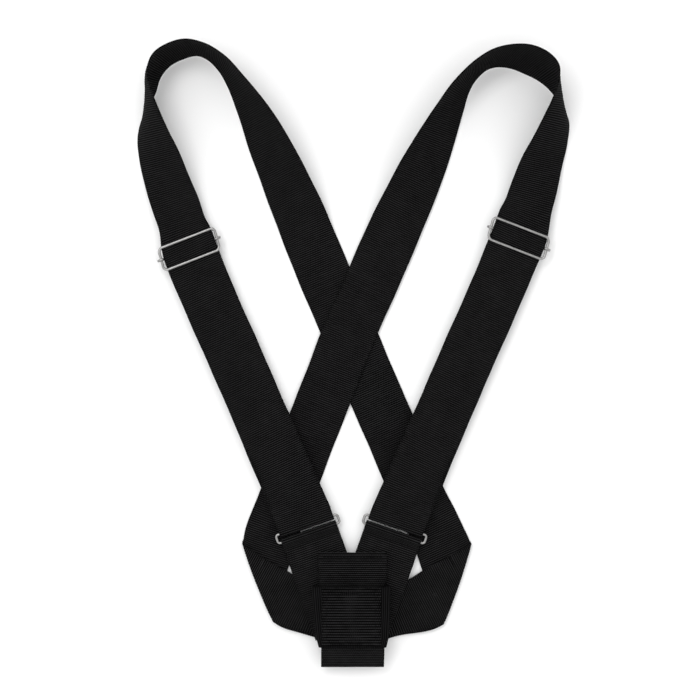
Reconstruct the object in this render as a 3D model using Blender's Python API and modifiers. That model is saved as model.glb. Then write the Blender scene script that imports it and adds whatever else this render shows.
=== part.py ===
"""Carrying harness: two webbing shoulder straps that cross at the back, with a sewn pole cup.

The harness lies flat, front side up, on the plane z = 0. +X is to the viewer's right and +Y runs
from the cup up to the shoulder loops. Each strap is one length of webbing, cut here into the runs
between its folds. It starts behind the cup, goes out to the side, folds over and climbs the back,
turns on its edge over the shoulder, comes down the front through a wire slide, turns round a wire
ring and ends sewn round the centre bar of the slide.
"""
import math

import bpy
import numpy as np

MM = 0.001

# Webbing and its layers
WEB = 1.5 * MM             # thickness
GAP = 0.3 * MM             # air kept between pieces that touch
STRAP_WIDTH = 50.8 * MM    # two-inch webbing
LAYER_0 = WEB / 2          # middle of a layer lying on the ground
LAYER_STEP = WEB + GAP
LAYER_1 = LAYER_0 + LAYER_STEP
TAB_Z = LAYER_0 + 2 * LAYER_STEP             # lower layer of a tab, over the waist runs

# Wire hardware
WIRE = 2.5 * MM            # diameter
WIRE_R = WIRE / 2
BAR_WRAP_R = WIRE_R + GAP + WEB / 2          # middle of the webbing sewn round the centre bar
RING_PLAY = 0.9 * MM                         # air round a ring bar inside its webbing turn
RING_WRAP_R = WIRE_R + RING_PLAY + WEB / 2   # middle of the webbing turned round a ring bar

# Heights of the front run and its hardware, built up from the back strap below them
CENTER_BAR_Z = WEB + GAP + BAR_WRAP_R + WEB / 2 + 0.05 * MM
FRONT_Z = CENTER_BAR_Z + BAR_WRAP_R + WEB + GAP
OUTER_BAR_Z = FRONT_Z + WEB / 2 + GAP + WIRE_R
RING_Z = FRONT_Z - RING_WRAP_R
UNDER_Z = RING_Z - RING_WRAP_R

# Front run: a straight line on each side, mirrored about x = 0
FRONT_LEAN = math.radians(23.5)              # from the vertical, towards the cup
RING_FOLD = (41.3 * MM, -165.2 * MM)         # middle of the fold round the ring, right-hand side
FRONT_INSET = 1.6 * MM                       # the run bows this far towards the middle
FRONT_INSET_SLIDE = 2.6 * MM                 # and a little more at the slide
FRONT_WIDTH_SLIDE = 49.2 * MM                # drawn in a little by the slide
FRONT_WIDTH_LOW = 50.6 * MM                    # down to the last stretch
FRONT_WIDTH_RING = 54 * MM                   # spread at the ring
FRONT_SLIDE_STOP = 22 * MM                   # from the shoulder loop down to the slide
FRONT_WIDE_STOP = 45 * MM                    # full width again
FRONT_LAST_STOP = 40 * MM                    # and spreading, this far above the ring

# Wire slide
SLIDE_INNER = 53.9 * MM                      # clear length of a bar
SLIDE_LENGTH = SLIDE_INNER + WIRE            # between the middles of the side rails
SLIDE_HEIGHT = 21.4 * MM                     # between the middles of the outer bars
SLIDE_CORNER = 4.2 * MM
SLIDE_TILT = math.radians(21.2)
SLIDE_SKEW = 0.1                             # the frame leans in at the top, as a bent wire does
HOOK_R = 2 * WIRE_R + GAP                    # middle of the hook that rides on a rail
HOOK_SWEEP = 225                             # degrees, from under the rail to inside and over it
STRAP_END_WIDTH = 47 * MM
STRAP_END_TAIL = 26 * MM                     # sewn tail beyond the centre bar
STRAP_END_SEAM = 20 * MM                     # from the bar to the seam, and half the seam's length

# Ring
RING_TILT = math.radians(19.2)
RING_LENGTH = 61.6 * MM                      # between the middles of the end rails
RING_HEIGHT = 8.2 * MM                       # between the middles of its two bars
RING_CORNER = 2.4 * MM
TURN_LEAD = 3 * MM                           # straight webbing above a ring bar's turn
TURN_TAIL = 8 * MM                           # and below it

# Tab that holds the ring
TAB_WIDTH = 54.2 * MM
TAB_LEAN = math.radians(19.2)
TAB_END_Y = -268 * MM
TAB_SEAM = 12.5 * MM                         # from the bar to the seam under the ring
TAB_SEAM_HALF = 25 * MM
CENTER_SEAM = 0.5 * MM                       # half the gap between left and right ends at x = 0

# Side fold and waist run
FOLD_R = 1.4 * MM
FOLD_LEAD = 46 * MM                          # length of back strap that belongs to the folded piece
FOLD_OUT = 33 * MM                           # the run leaves the fold straight for this far
SETTLE = (58 * MM, 80 * MM)                  # and comes down to the ground between these distances

# Cup
STRIP_X = 1.3 * MM                           # the strip sits a little off the middle
BAND_BACK_Z = TAB_Z + 2 * LAYER_STEP
STRIP_BACK_Z = BAND_BACK_Z + LAYER_STEP
POCKET = 8.6 * MM                            # clear height of the empty cup
STRIP_FRONT_Z = STRIP_BACK_Z + POCKET + WEB
BAND_FRONT_Z = STRIP_FRONT_Z + LAYER_STEP
PATCH_Z = BAND_FRONT_Z + LAYER_STEP
STRIP_TOP_Y = -187.2 * MM
STRIP_TIP_Y = -295.5 * MM
STRIP_WIDTH_TOP = 65 * MM
STRIP_WIDTH = 59.4 * MM
STRIP_NARROW_Y = -262 * MM                   # the strip is down to its lower width here
HEM = 6.5 * MM
HEM_SEAM_HALF = 28 * MM
TIP_R = 2.2 * MM                             # middle of the webbing round the cup's closed end
BAND_TOP_Y = -218.5 * MM
BAND_BOTTOM_Y = -276 * MM
BAND_CORNER = 2.2 * MM                       # middle of the webbing round a corner
BAND_OUTLINE = (                             # y, middle and half width: it draws in at the bottom
    (BAND_TOP_Y, 0.0, 37 * MM),
    (-240 * MM, 0.5 * MM, 36 * MM),
    (-267 * MM, 1.2 * MM, 34 * MM),
    (BAND_BOTTOM_Y, STRIP_X, 31.9 * MM),
)
PATCH_SIZE = (55.9 * MM, 54.4 * MM)
PATCH_CENTER = (0.0, -247 * MM)
BOX_STITCH_INSET = 5 * MM

THREAD_R = 0.3 * MM
THREAD_LIFT = WEB / 2 + GAP + THREAD_R       # middle of a thread above the middle of its webbing

# Shoulder loops in mm: the rising edge (x, y, z), the edge that stays low (x, y, z) and how far
# the webbing bows outwards between them. From the front run, over the top, to the back run.
LOOP_LEFT = [
    ((-138, 129, 0), (-181, 114, 0), 0),
    ((-144, 147, 11), (-187, 132, 7.5), 0),
    ((-153, 169, 20), (-195, 158, 4), 0),
    ((-162, 191, 31), (-201, 184, 1.5), 2),
    ((-172, 212, 41), (-202, 209, 0.9), 4),
    ((-180, 231, 46), (-195, 230, 0.9), 6),
    ((-186, 247, 48), (-186, 247, 0.9), 7),
    ((-189, 263, 48.5), (-181, 262, 0.9), 6),
    ((-184, 278, 48.5), (-172, 273, 0.9), 4),
    ((-170, 288, 48.5), (-159, 280, 0.9), 3),
    ((-153, 292, 48.5), (-146, 283, 0.9), 3),
    ((-136, 288, 48.5), (-136, 279, 0.9), 3),
    ((-118, 277, 48), (-126, 269, 0.9), 3),
    ((-100, 258, 46.5), (-117, 253, 0.9), 3),
    ((-83, 238, 43.5), (-108, 229, 0.9), 3),
    ((-65, 213, 36), (-99, 200, 0.9), 2),
    ((-48, 184, 27), (-87, 167, 0.9), 1),
    ((-33, 155, 15), (-76, 136, 0.9), 0),
    ((-13, 110, 0), (-59, 91, 0), 0),
]
LOOP_RIGHT = [
    ((145, 145, 0), (189, 131, 0), 0),
    ((151, 162, 13), (194, 151, 7), 0),
    ((160, 184, 25), (200, 177, 3), 0),
    ((171, 205, 38), (205, 201, 1.1), 3),
    ((180, 223, 45), (206, 222, 0.9), 5),
    ((187, 238, 47.5), (198, 238, 0.9), 6),
    ((192, 253, 48.5), (187, 252, 0.9), 6),
    ((193, 266, 48.5), (178, 259, 0.9), 5),
    ((185, 278, 48.5), (164, 266, 0.9), 4),
    ((169, 286, 48.5), (151, 271, 0.9), 3),
    ((151, 287, 48.5), (138, 272, 0.9), 3),
    ((133, 283, 48.5), (128, 269, 0.9), 3),
    ((116, 273, 48), (119, 261, 0.9), 3),
    ((97, 255, 46), (112, 249, 0.9), 3),
    ((81, 234, 42), (106, 229, 0.9), 3),
    ((64, 209, 34), (98, 200, 1), 2),
    ((48, 184, 26), (88, 169, 1.5), 1),
    ((32, 155, 14), (75, 135, 2.2), 0),
    ((10, 110, 0), (56, 89, 0), 0),
]
LOOP_STEPS = 40
LOOP_SPLIT = 19            # the loop is cut into a front and a back part at this step, at its top
LOOP_ACROSS = 5
HALF_TURN_STEPS = 8

# What differs between the sides. A side is named for the shoulder loop. Its back strap crosses to
# the other side of the cup, where it folds at fold_middle and returns along return_route.
SIDES = {
    "left": {
        "sign": -1,
        "loop": LOOP_LEFT,
        "slide_middle": (-153.1 * MM, 99 * MM),
        "back_z": LAYER_0,
        "back_route": [(-1.9, 19.7), (33, -62), (66.8, -140.6)],
        "fold_middle": (103.6, -215.2),
        "fold_lean": 17.5,
        "fold_turn": 41,
        "return_route": [(36, -243.8), (0, -254.5)],
    },
    "right": {
        "sign": 1,
        "loop": LOOP_RIGHT,
        "slide_middle": (158.2 * MM, 109.2 * MM),
        "back_z": LAYER_1,
        "back_route": [(-1.9, 19.7), (-31, -55), (-64, -140.6)],
        "fold_middle": (-89.8, -212.6),
        "fold_lean": -21.5,
        "fold_turn": 39.5,
        "return_route": [(-36, -242), (0, -254)],
    },
}

BACK_WIDTH = 50 * MM           # the back straps, a little under their side folds
CROSSING_BELOW_Y = -41 * MM    # the upper back strap is clear of the lower one from here down
CROSSING_DOWN = 19 * MM        # and is down on the ground after this much more

BLACK_WEBBING = ("black_webbing", (0.012, 0.012, 0.013), 0.85, 0.0)
BLACK_WEBBING_WIDE = ("black_webbing_wide", (0.014, 0.014, 0.015), 0.85, 0.0)
BRIGHT_WIRE = ("bright_wire", (0.62, 0.62, 0.63), 0.22, 1.0)
BLACK_THREAD = ("black_thread", (0.02, 0.02, 0.022), 0.7, 0.0)


def make_material(spec):
    name, color, roughness, metallic = spec
    material = bpy.data.materials.get(name)
    if material is None:
        material = bpy.data.materials.new(name)
        material.use_nodes = True
        shader = material.node_tree.nodes["Principled BSDF"]
        shader.inputs["Base Color"].default_value = (*color, 1.0)
        shader.inputs["Roughness"].default_value = roughness
        shader.inputs["Metallic"].default_value = metallic
    return material


def add_object(name, data, spec, collection, origin=(0.0, 0.0, 0.0)):
    """Link a mesh or curve whose points are in world space, and put its origin at a joint."""
    node = bpy.data.objects.new(name, data)
    data.materials.append(make_material(spec))
    collection.objects.link(node)
    if any(origin):
        points = data.vertices if isinstance(data, bpy.types.Mesh) else data.splines[0].points
        for point in points:
            point.co[0] -= origin[0]
            point.co[1] -= origin[1]
            point.co[2] -= origin[2]
        node.location = origin
    return node


def catmull_rom(points, count):
    """Read count evenly spaced samples from a smooth curve through the given points."""
    points = np.asarray(points, float)
    padded = np.vstack([2 * points[0] - points[1], points, 2 * points[-1] - points[-2]])
    place = np.linspace(0, len(points) - 1, count)
    start = np.minimum(place.astype(int), len(points) - 2)
    t = (place - start)[:, None]
    p0, p1, p2, p3 = (padded[start + k] for k in range(4))
    cubic = -p0 + 3 * p1 - 3 * p2 + p3
    square = 2 * p0 - 5 * p1 + 4 * p2 - p3
    return 0.5 * (2 * p1 + (p2 - p0) * t + square * t ** 2 + cubic * t ** 3)


def smooth_step(value, start, end):
    t = np.clip((value - start) / (end - start), 0.0, 1.0)
    return t * t * (3 - 2 * t)


def plan_strip(centers, widths, heights):
    """Rows of two points across a strip that lies level, square to its route."""
    centers = np.asarray(centers, float)
    tangent = np.gradient(centers, axis=0)
    tangent /= np.linalg.norm(tangent, axis=1)[:, None]
    across = np.column_stack([-tangent[:, 1], tangent[:, 0]])
    half = np.broadcast_to(widths, len(centers))[:, None] / 2
    z = np.broadcast_to(heights, len(centers))[:, None]
    near = np.hstack([centers - across * half, z])
    far = np.hstack([centers + across * half, z])
    return np.stack([near, far], axis=1)


def profile_strip(middle, direction, width, profile):
    """Rows across a strip that follows a profile of (distance along direction, height)."""
    direction = np.asarray(direction)
    across = np.array([-direction[1], direction[0]])
    rows = []
    for distance, height in profile:
        center = np.asarray(middle) + direction * distance
        near = (*(center - across * width / 2), height)
        far = (*(center + across * width / 2), height)
        rows.append([near, far])
    return np.array(rows)


def webbing(name, rows, collection, spec=BLACK_WEBBING, origin=(0.0, 0.0, 0.0), closed=False):
    """One piece of webbing: rows of points across it, given its thickness by Solidify."""
    rows = np.asarray(rows, float)
    count, across = rows.shape[:2]
    points = rows.reshape(-1, 3)
    faces = []
    for i in range(count - 1):
        for j in range(across if closed else across - 1):
            k = (j + 1) % across
            below = (i + 1) * across
            faces.append((i * across + j, i * across + k, below + k, below + j))
    mesh = bpy.data.meshes.new(name)
    mesh.from_pydata(points.tolist(), [], faces)
    node = add_object(name, mesh, spec, collection, origin)
    solid = node.modifiers.new("webbing_thickness", "SOLIDIFY")
    solid.thickness = WEB
    solid.offset = 0.0
    solid.use_even_offset = True
    return node


def wire(name, points, collection, radius, spec=BRIGHT_WIRE, closed=False, origin=(0.0, 0.0, 0.0)):
    """A round wire or thread along the given points."""
    curve = bpy.data.curves.new(name, "CURVE")
    curve.dimensions = "3D"
    curve.bevel_depth = radius
    curve.bevel_resolution = 2
    curve.use_fill_caps = not closed
    spline = curve.splines.new("POLY")
    spline.points.add(len(points) - 1)
    for target, point in zip(spline.points, points):
        target.co = (*point, 1.0)
    spline.use_cyclic_u = closed
    return add_object(name, curve, spec, collection, origin)


def rounded_rectangle(length, height, corner, steps=4):
    """Outline of a rounded rectangle about (0, 0), as (x, y) points."""
    points = []
    corners = ((1, 1, 0), (-1, 1, 90), (-1, -1, 180), (1, -1, 270))
    for sx, sy, start in corners:
        cx = sx * (length / 2 - corner)
        cy = sy * (height / 2 - corner)
        for k in range(steps + 1):
            angle = math.radians(start + 90 * k / steps)
            points.append((cx + corner * math.cos(angle), cy + corner * math.sin(angle)))
    return points


def placed(points, middle, tilt, z):
    """Turn local (x, y) or (x, y, z) points by tilt and move them to the middle."""
    cosine = math.cos(tilt)
    sine = math.sin(tilt)
    result = []
    for point in points:
        x, y = point[:2]
        lift = point[2] if len(point) == 3 else 0.0
        result.append((middle[0] + x * cosine - y * sine, middle[1] + x * sine + y * cosine, z + lift))
    return result


def down_direction(side):
    """Unit vector in plan, down the front run towards the ring."""
    return np.array([-side["sign"] * math.sin(FRONT_LEAN), -math.cos(FRONT_LEAN)])


def slide_direction(side):
    """Unit vector in plan, square to the bars of the slide, towards the ring."""
    return np.array([-side["sign"] * math.sin(SLIDE_TILT), -math.cos(SLIDE_TILT)])


def ring_bar(side):
    """Middle of the ring's upper bar, the way from it to the lower bar, and the ring's tilt."""
    tilt = -side["sign"] * RING_TILT
    ring_down = np.array([math.sin(tilt), -math.cos(tilt)])
    fold = np.array([side["sign"] * RING_FOLD[0], RING_FOLD[1]])
    return fold - ring_down * (RING_WRAP_R + WEB / 2), ring_down, tilt


def loop_rows(side):
    """The shoulder loop: straight across from one edge to the other, bowed outwards."""
    stations = []
    for rising, low, bow in side["loop"]:
        stations.append([*rising, *low, bow])
    stations = np.array(stations) * MM
    stations[0, [2, 5]] = FRONT_Z
    stations[-1, [2, 5]] = side["back_z"]
    samples = catmull_rom(stations, LOOP_STEPS)
    rising, low, bow = samples[:, :3], samples[:, 3:6], samples[:, 6]
    along = np.gradient((rising + low) / 2, axis=0)
    outward = np.cross(along, rising - low) * side["sign"]
    outward /= np.linalg.norm(outward, axis=1)[:, None]
    share = np.linspace(0, 1, LOOP_ACROSS)[None, :, None]
    flat = low[:, None] + (rising - low)[:, None] * share
    return flat - outward[:, None] * bow[:, None, None] * 4 * share * (1 - share)


def make_shoulder_loop(side_name, side, collection):
    """The loop in two parts, with a small gap between them at its top."""
    rows = loop_rows(side)
    webbing(f"{side_name}_shoulder_loop_front", rows[:LOOP_SPLIT + 1], collection)
    back = rows[LOOP_SPLIT:].copy()
    onward = back[1] - back[0]
    back[0] += onward * 2 * GAP / np.linalg.norm(onward, axis=1)[:, None]
    webbing(f"{side_name}_shoulder_loop_back", back, collection)
    return rows


def matched(row, other):
    """The row, turned end for end if it runs the other way than its neighbour."""
    if np.dot(row[1][:2] - row[0][:2], other[1][:2] - other[0][:2]) < 0:
        return row[::-1]
    return row


def level_row(middle, direction, width, z):
    return profile_strip(middle, direction, width, [(0.0, z)])[0]


def make_front_run(side_name, side, loop, collection):
    """Level run from the shoulder loop to the turn round the ring."""
    down = down_direction(side)
    bar, ring_down, _ = ring_bar(side)
    last = level_row(bar - ring_down * (TURN_LEAD + GAP), ring_down, FRONT_WIDTH_RING, FRONT_Z)
    edges = loop[0][[0, -1], :2]
    top = matched(np.column_stack([edges + down * GAP, [FRONT_Z] * 2]), last)
    length = np.dot(bar - edges.mean(axis=0), down)
    inward = np.array([down[1], -down[0]]) * side["sign"]
    stations = (
        (FRONT_SLIDE_STOP, FRONT_WIDTH_SLIDE, FRONT_INSET_SLIDE),
        (FRONT_WIDE_STOP, FRONT_WIDTH_LOW, FRONT_INSET),
        (length / 2, FRONT_WIDTH_LOW, FRONT_INSET),
        (length - FRONT_LAST_STOP, FRONT_WIDTH_LOW, FRONT_INSET),
    )
    rows = [top]
    for stop, width, inset in stations:
        middle = bar - down * (length - stop) + inward * inset
        rows.append(level_row(middle, down, width, FRONT_Z))
    rows.append(last)
    webbing(f"{side_name}_front_run", rows, collection)


def turn_profile(lead, tail):
    """Half turn round a ring bar, from above to below, as (distance, height)."""
    profile = [(-lead, RING_Z + RING_WRAP_R)]
    for k in range(HALF_TURN_STEPS + 1):
        angle = math.pi * k / HALF_TURN_STEPS
        profile.append((RING_WRAP_R * math.sin(angle), RING_Z + RING_WRAP_R * math.cos(angle)))
    profile.append((-tail, UNDER_Z))
    return profile


def make_ring_turn(side_name, side, collection):
    """The strap's turn round the upper bar of the ring, with the start of its hidden layer."""
    bar, ring_down, _ = ring_bar(side)
    rows = profile_strip(bar, ring_down, FRONT_WIDTH_RING, turn_profile(TURN_LEAD, TURN_TAIL))
    webbing(f"{side_name}_ring_turn", rows, collection)


def make_under_strap(side_name, side, collection):
    """Hidden layer from the ring turn back up to the sewn end at the slide."""
    down = down_direction(side)
    bar, ring_down, _ = ring_bar(side)
    slide_down = slide_direction(side)
    start = bar - ring_down * (TURN_TAIL + GAP)
    end = np.array(side["slide_middle"]) + slide_down * (STRAP_END_TAIL + GAP)
    share = np.linspace(0, 1, 9)
    centers = start + (end - start) * share[:, None]
    end_z = CENTER_BAR_Z - BAR_WRAP_R
    heights = UNDER_Z + (end_z - UNDER_Z) * smooth_step(share, 0, 1)
    widths = FRONT_WIDTH_RING + (STRAP_END_WIDTH - FRONT_WIDTH_RING) * share
    rows = list(plan_strip(centers, widths, heights))
    rows[0] = matched(level_row(start, ring_down, FRONT_WIDTH_RING, UNDER_Z), rows[1])
    rows[-1] = matched(level_row(end, slide_down, STRAP_END_WIDTH, end_z), rows[1])
    webbing(f"{side_name}_under_strap", rows, collection)


def make_slide(side_name, side, collection):
    """Wire slide: a closed frame, and a centre bar with a hook round each side rail."""
    middle = side["slide_middle"]
    tilt = -side["sign"] * SLIDE_TILT
    outline = rounded_rectangle(SLIDE_LENGTH, SLIDE_HEIGHT, SLIDE_CORNER)
    frame = [(x - side["sign"] * SLIDE_SKEW * y, y) for x, y in outline]
    wire(f"{side_name}_slide_frame", placed(frame, middle, tilt, OUTER_BAR_Z), collection, WIRE_R,
         closed=True, origin=(*middle, OUTER_BAR_Z))
    make_center_bar(side_name, side, middle, tilt, collection)


def make_center_bar(side_name, side, middle, tilt, collection):
    """The bar lies under the strap. Each end climbs outside its rail and hooks in over it."""
    drop = CENTER_BAR_Z - OUTER_BAR_Z
    rail = SLIDE_LENGTH / 2
    half = [(rail - 4.5 * MM, 0.0, drop), (rail - 2.2 * MM, 0.0, drop + 0.6 * MM)]
    for k in range(HALF_TURN_STEPS + 1):
        angle = math.radians(HOOK_SWEEP * k / HALF_TURN_STEPS - 90)
        half.append((rail + HOOK_R * math.cos(angle), 0.0, HOOK_R * math.sin(angle)))
    other = [(-x, y, z) for x, y, z in reversed(half)]
    points = placed([*other, (0.0, 0.0, drop), *half], middle, tilt, OUTER_BAR_Z)
    wire(f"{side_name}_center_bar", points, collection, WIRE_R, origin=(*middle, CENTER_BAR_Z))


def make_strap_end(side_name, side, collection):
    """The strap's end: round the centre bar, and doubled back on itself as a sewn tail."""
    down = slide_direction(side)
    middle = np.array(side["slide_middle"])
    low = CENTER_BAR_Z - BAR_WRAP_R
    high = low + LAYER_STEP
    profile = [(STRAP_END_TAIL, high), (8 * MM, high), (3.5 * MM, CENTER_BAR_Z + 0.3 * BAR_WRAP_R)]
    for k in range(HALF_TURN_STEPS + 1):
        angle = math.radians(60 + 210 * k / HALF_TURN_STEPS)
        profile.append((BAR_WRAP_R * math.cos(angle), CENTER_BAR_Z + BAR_WRAP_R * math.sin(angle)))
    profile.append((STRAP_END_TAIL, low))
    rows = profile_strip(middle, down, STRAP_END_WIDTH, profile)
    webbing(f"{side_name}_strap_end", rows, collection, origin=(*middle, CENTER_BAR_Z))
    seam = middle + down * STRAP_END_SEAM
    points = seam_points(seam, down, STRAP_END_SEAM, high + THREAD_LIFT)
    wire(f"{side_name}_strap_end_stitching", points, collection, THREAD_R, BLACK_THREAD)


def seam_points(middle, direction, half, z):
    """A straight seam square to a direction in plan."""
    across = np.array([-direction[1], direction[0]]) * half
    return [(*(middle - across), z), (*middle, z), (*(middle + across), z)]


def make_ring(side_name, side, collection):
    """Rectangular wire ring with round corners, hinged on the bar that the tab holds."""
    bar, ring_down, tilt = ring_bar(side)
    middle = bar + ring_down * RING_HEIGHT / 2
    hinge = bar + ring_down * RING_HEIGHT
    outline = rounded_rectangle(RING_LENGTH, RING_HEIGHT, RING_CORNER)
    wire(f"{side_name}_ring", placed(outline, middle, tilt, RING_Z), collection, WIRE_R,
         closed=True, origin=(*hinge, RING_Z))


def make_tab(side_name, side, collection):
    """Wide webbing doubled round the ring's lower bar and mitred at the middle of the cup."""
    upper_bar, ring_down, _ = ring_bar(side)
    sign = side["sign"]
    bar = upper_bar + ring_down * RING_HEIGHT
    down = np.array([-sign * math.sin(TAB_LEAN), -math.cos(TAB_LEAN)])
    length = (bar[1] - TAB_END_Y) / math.cos(TAB_LEAN)
    stops = np.array([9, 18, 26, 40, 60, 80, length / MM - 6]) * MM
    lower = UNDER_Z + (TAB_Z - UNDER_Z) * smooth_step(stops, 5 * MM, 18 * MM)
    profile = list(zip(stops[::-1], lower[::-1]))
    for k in range(HALF_TURN_STEPS + 1):
        angle = math.pi * (1.5 - k / HALF_TURN_STEPS)
        profile.append((RING_WRAP_R * math.cos(angle), RING_Z + RING_WRAP_R * math.sin(angle)))
    profile += zip(stops, lower + LAYER_STEP)
    strip = []
    for distance, z in profile:
        along = down if distance > TURN_LEAD else ring_down
        center = bar + along * distance
        across = np.array([-along[1], along[0]])
        ends = [center - across * TAB_WIDTH / 2, center + across * TAB_WIDTH / 2]
        strip.append([(*trim_to_seam(end, across, sign), z) for end in ends])
    webbing(f"{side_name}_tab", strip, collection, BLACK_WEBBING_WIDE)
    z = np.interp(TAB_SEAM, stops, lower) + LAYER_STEP + THREAD_LIFT + GAP
    points = seam_points(bar + down * TAB_SEAM, down, TAB_SEAM_HALF, z)
    wire(f"{side_name}_tab_stitching", points, collection, THREAD_R, BLACK_THREAD)


def trim_to_seam(point, across, sign):
    """Slide an edge point back along its row when it would pass the middle seam."""
    excess = CENTER_SEAM - sign * point[0]
    if excess > 0:
        point = point + across * (sign * excess / across[0])
    return point


def turned(vector, angle):
    cosine = math.cos(angle)
    sine = math.sin(angle)
    return np.array([vector[0] * cosine - vector[1] * sine, vector[0] * sine + vector[1] * cosine])


def fold_frame(side):
    """Directions at the side fold: strap coming in, crease, outwards, and the way out."""
    lean = math.radians(side["fold_lean"])
    turn = math.radians(side["fold_turn"]) * -side["sign"]
    crease = np.array([-math.sin(lean), -math.cos(lean)])
    incoming = turned(crease, turn)
    outgoing = turned(crease, -turn)
    normal = turned(crease, math.copysign(math.pi / 2, turn))
    return incoming, crease, normal, outgoing


def folded(point, middle, crease, normal):
    """Lay a plan point of the flat strap round the crease."""
    offset = point - middle
    along = np.dot(offset, crease)
    turn = np.dot(offset, normal) / FOLD_R
    plan = middle + crease * along + normal * FOLD_R * math.sin(turn)
    return (*plan, LAYER_0 + FOLD_R * (1 - math.cos(turn)))


def make_waist_run(side_name, side, collection):
    """Folded piece at the side, and its run back to the middle of the cup."""
    incoming, crease, normal, outgoing = fold_frame(side)
    across = turned(incoming, math.pi / 2)
    middle = np.array(side["fold_middle"]) * MM
    half = STRAP_WIDTH / 2
    start = middle - incoming * FOLD_LEAD
    rows = [[(*(start - across * half), LAYER_0), (*(start + across * half), LAYER_0)]]
    for k in range(HALF_TURN_STEPS + 1):
        beyond = math.pi * FOLD_R * k / HALF_TURN_STEPS
        row = []
        for v in (-half, half):
            u = (beyond - v * np.dot(across, normal)) / np.dot(incoming, normal)
            row.append(folded(middle + incoming * u + across * v, middle, crease, normal))
        rows.append(row)
    route = [middle, middle + outgoing * FOLD_OUT]
    route += [np.array(point) * MM for point in side["return_route"]]
    centers = catmull_rom(route, 16)[5:]
    reach = np.linalg.norm(centers - middle, axis=1)
    heights = LAYER_1 + (LAYER_0 - LAYER_1) * smooth_step(reach, *SETTLE)
    level = plan_strip(centers, STRAP_WIDTH, heights)
    for row in level:
        row = matched(row, np.array(rows[-1]))
        direction = (row[1] - row[0])[:2]
        direction /= np.linalg.norm(direction)
        ends = [trim_to_seam(end, direction, -side["sign"]) for end in row[:, :2]]
        rows.append([(*end, row[0][2]) for end in ends])
    webbing(f"{side_name}_waist_run", rows, collection)
    return start, incoming


def make_back_run(side_name, side, loop, waist_start, incoming, collection):
    """Back strap from the shoulder loop, over or under its fellow, to the side fold."""
    last = loop[-1][[0, -1], :2]
    start = last.mean(axis=0)
    onward = turned(last[1] - last[0], math.pi / 2)
    onward /= np.linalg.norm(onward)
    onward *= np.sign(np.dot(onward, start - loop[-2][:, :2].mean(axis=0)))
    points = [np.array(point) * MM for point in side["back_route"]]
    centers = catmull_rom([start, *points, waist_start], 25)[1:-1]
    down = smooth_step(-centers[:, 1], -CROSSING_BELOW_Y, -CROSSING_BELOW_Y + CROSSING_DOWN)
    heights = side["back_z"] + (LAYER_0 - side["back_z"]) * down
    level = plan_strip(centers, BACK_WIDTH, heights)
    first = matched(np.column_stack([last + onward * GAP, [side["back_z"]] * 2]), level[0])
    final = level_row(waist_start - incoming * GAP, incoming, STRAP_WIDTH, LAYER_0)
    webbing(f"{side_name}_back_run", [first, *level, matched(final, level[-1])], collection)


def strip_profile():
    """(y, z) along the cup strip: hem, back, closed end, and front up inside the band."""
    hem_r = LAYER_STEP / 2
    profile = [(STRIP_TOP_Y - HEM, STRIP_BACK_Z + LAYER_STEP)]
    for k in range(5):
        angle = math.radians(90 - 45 * k)
        profile.append((STRIP_TOP_Y - hem_r - WEB / 2 + hem_r * math.cos(angle),
                        STRIP_BACK_Z + hem_r + hem_r * math.sin(angle)))
    tip_y = STRIP_TIP_Y + TIP_R + WEB / 2
    profile += [(BAND_TOP_Y, STRIP_BACK_Z), (STRIP_NARROW_Y, STRIP_BACK_Z)]
    for k in range(HALF_TURN_STEPS + 1):
        angle = math.radians(270) - math.pi * k / HALF_TURN_STEPS
        profile.append((tip_y + TIP_R * math.cos(angle), STRIP_BACK_Z + TIP_R + TIP_R * math.sin(angle)))
    low = STRIP_BACK_Z + 2 * TIP_R
    rise_end = BAND_BOTTOM_Y + 2 * MM
    for k in range(1, 6):
        y = tip_y + (rise_end - tip_y) * k / 5
        profile.append((y, low + (STRIP_FRONT_Z - low) * smooth_step(k / 5, 0, 1)))
    profile += [(STRIP_NARROW_Y, STRIP_FRONT_Z), (BAND_TOP_Y - 3 * MM, STRIP_FRONT_Z)]
    return profile


def make_cup_strip(collection):
    """Back of the cup: hemmed at the top, folded up at the bottom to close the cup."""
    rows = []
    for y, z in strip_profile():
        widening = smooth_step(y, STRIP_NARROW_Y, STRIP_TOP_Y)
        half = (STRIP_WIDTH + (STRIP_WIDTH_TOP - STRIP_WIDTH) * widening) / 2
        rows.append([(STRIP_X - half, y, z), (STRIP_X + half, y, z)])
    webbing("cup_strip", rows, collection, BLACK_WEBBING_WIDE)


def make_cup_band(collection):
    """Flattened tube of webbing that wraps the strip and makes the cup's wall."""
    middle_z = (BAND_BACK_Z + BAND_FRONT_Z) / 2
    height = BAND_FRONT_Z - BAND_BACK_Z
    rows = []
    for y, middle_x, half in BAND_OUTLINE:
        outline = rounded_rectangle(2 * half - WEB, height, BAND_CORNER)
        rows.append([(middle_x + x, y, middle_z + z) for x, z in outline])
    webbing("cup_band", rows, collection, closed=True)


def make_front_patch(collection):
    """Square patch sewn over the front of the band with a box of stitches."""
    x, y = PATCH_CENTER
    width, height = PATCH_SIZE
    rows = []
    for edge_y in (y + height / 2, y - height / 2):
        rows.append([(x - width / 2, edge_y, PATCH_Z), (x + width / 2, edge_y, PATCH_Z)])
    webbing("cup_patch", rows, collection, BLACK_WEBBING_WIDE)
    inset = 2 * BOX_STITCH_INSET
    box = rounded_rectangle(width - inset, height - inset, 1.5 * MM, steps=2)
    points = placed(box, PATCH_CENTER, 0.0, PATCH_Z + THREAD_LIFT)
    wire("cup_patch_stitching", points, collection, THREAD_R, BLACK_THREAD, closed=True)


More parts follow.
